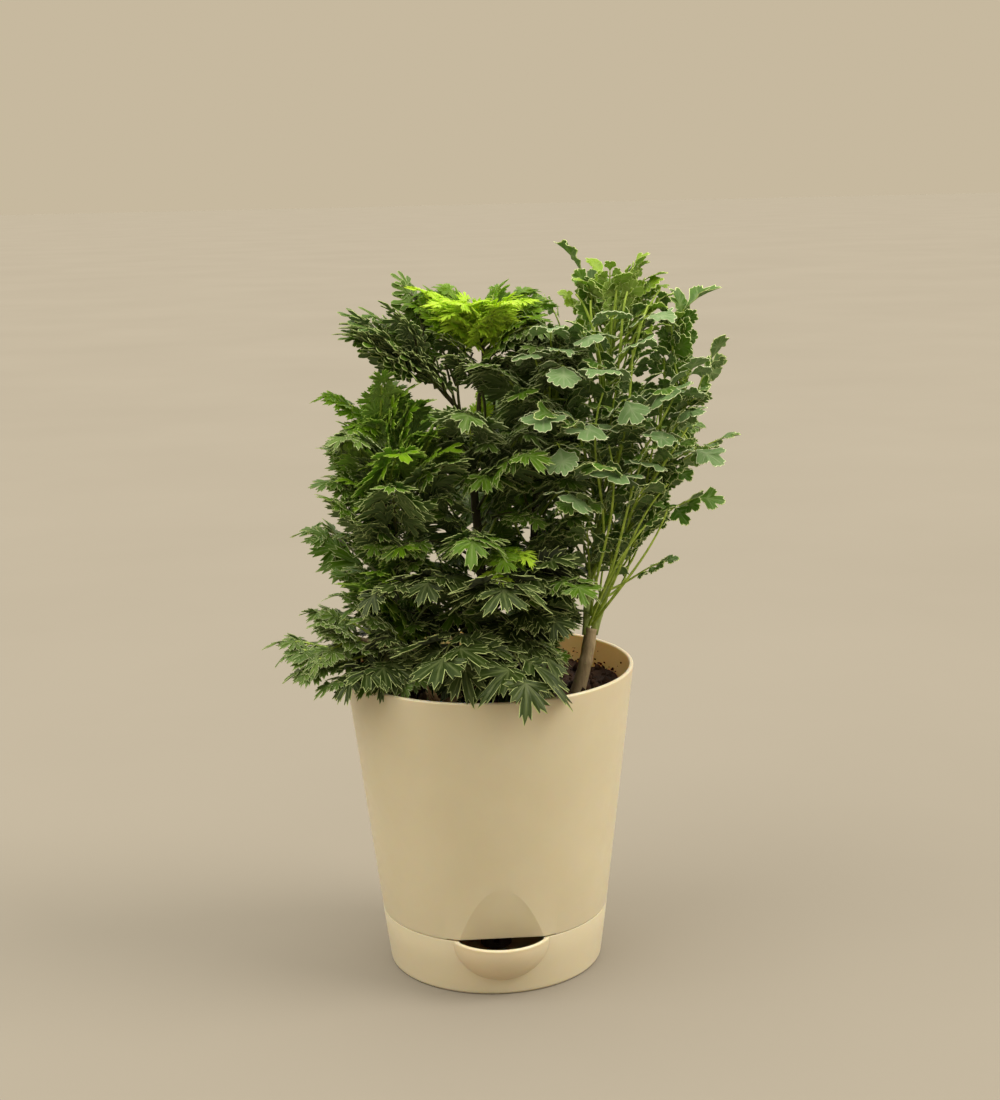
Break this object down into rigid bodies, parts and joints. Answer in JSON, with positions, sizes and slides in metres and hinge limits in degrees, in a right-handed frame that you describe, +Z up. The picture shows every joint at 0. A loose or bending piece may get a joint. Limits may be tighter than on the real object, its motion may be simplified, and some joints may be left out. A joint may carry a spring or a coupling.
{
  "type": "potted aralia",
  "caption": "Young aralias with deeply cut, pale-edged leaves growing in a tapered cream self-watering pot with a front filling spout.",
  "frame": {"origin": "centre of the reservoir base's underside, where the pot stands", "axes": "+Z up along the pot's axis; the filling spout faces -Y; +X to the right seen from the spout"},
  "size_m": [0.205, 0.1467, 0.3112],
  "materials": {
    "cream_plastic": "satin",
    "dark_plastic": "matte",
    "soil": "matte",
    "bark": "matte",
    "stem_dark": "matte",
    "stem_green": "satin",
    "leaf_dark": "satin",
    "leaf_mid": "satin",
    "leaf_lime": "satin",
    "leaf_grey": "satin"
  },
  "bodies": {
    "root": {"branch_top": "stem_dark", "branch_top_left": "stem_dark", "leaf_centre_1": "leaf_dark", "leaf_centre_2": "leaf_dark", "leaf_centre_3": "leaf_dark", "leaf_centre_4": "leaf_dark", "leaf_centre_5": "leaf_grey", "leaf_centre_6": "leaf_dark", "leaf_centre_7": "leaf_mid", "leaf_centre_8": "leaf_dark", "leaf_left_1": "leaf_mid", "leaf_left_10": "leaf_dark", "leaf_left_2": "leaf_mid", "leaf_left_3": "leaf_mid", "leaf_left_4": "leaf_dark", "leaf_left_5": "leaf_mid", "leaf_left_6": "leaf_dark", "leaf_left_7": "leaf_dark", "leaf_left_8": "leaf_dark", "leaf_left_9": "leaf_mid", "leaf_low_left_1": "leaf_dark", "leaf_low_left_2": "leaf_dark", "leaf_middle_1": "leaf_dark", "leaf_middle_2": "leaf_dark", "leaf_middle_3": "leaf_dark", "leaf_middle_4": "leaf_dark", "leaf_middle_5": "leaf_mid", "leaf_middle_6": "leaf_dark", "leaf_right_outer_1": "leaf_grey", "leaf_right_outer_2": "leaf_grey", "leaf_right_outer_3": "leaf_grey", "leaf_right_outer_4": "leaf_grey", "leaf_right_outer_5": "leaf_grey", "leaf_right_outer_6": "leaf_grey", "leaf_right_outer_7": "leaf_grey", "leaf_right_outer_8": "leaf_grey", "leaf_right_upright_1": "leaf_grey", "leaf_right_upright_2": "leaf_grey", "leaf_right_upright_3": "leaf_grey", "leaf_right_upright_4": "leaf_grey", "leaf_right_upright_5": "leaf_grey", "leaf_right_upright_6": "leaf_grey", "leaf_right_upright_7": "leaf_grey", "leaf_right_upright_8": "leaf_grey", "leaf_top_1": "leaf_lime", "leaf_top_2": "leaf_lime", "leaf_top_3": "leaf_mid", "leaf_top_left_1": "leaf_dark", "leaf_top_left_2": "leaf_dark", "pot_body": "cream_plastic", "reservoir_base": "cream_plastic", "soil": "soil", "stem_centre": "stem_dark", "stem_left": "stem_dark", "stem_low_left": "bark", "stem_middle": "stem_dark", "stem_right_outer": "stem_green", "stem_right_upright": "stem_green", "trunk_right": "bark", "wick_basket": "dark_plastic"}
  },
  "joints": []
}
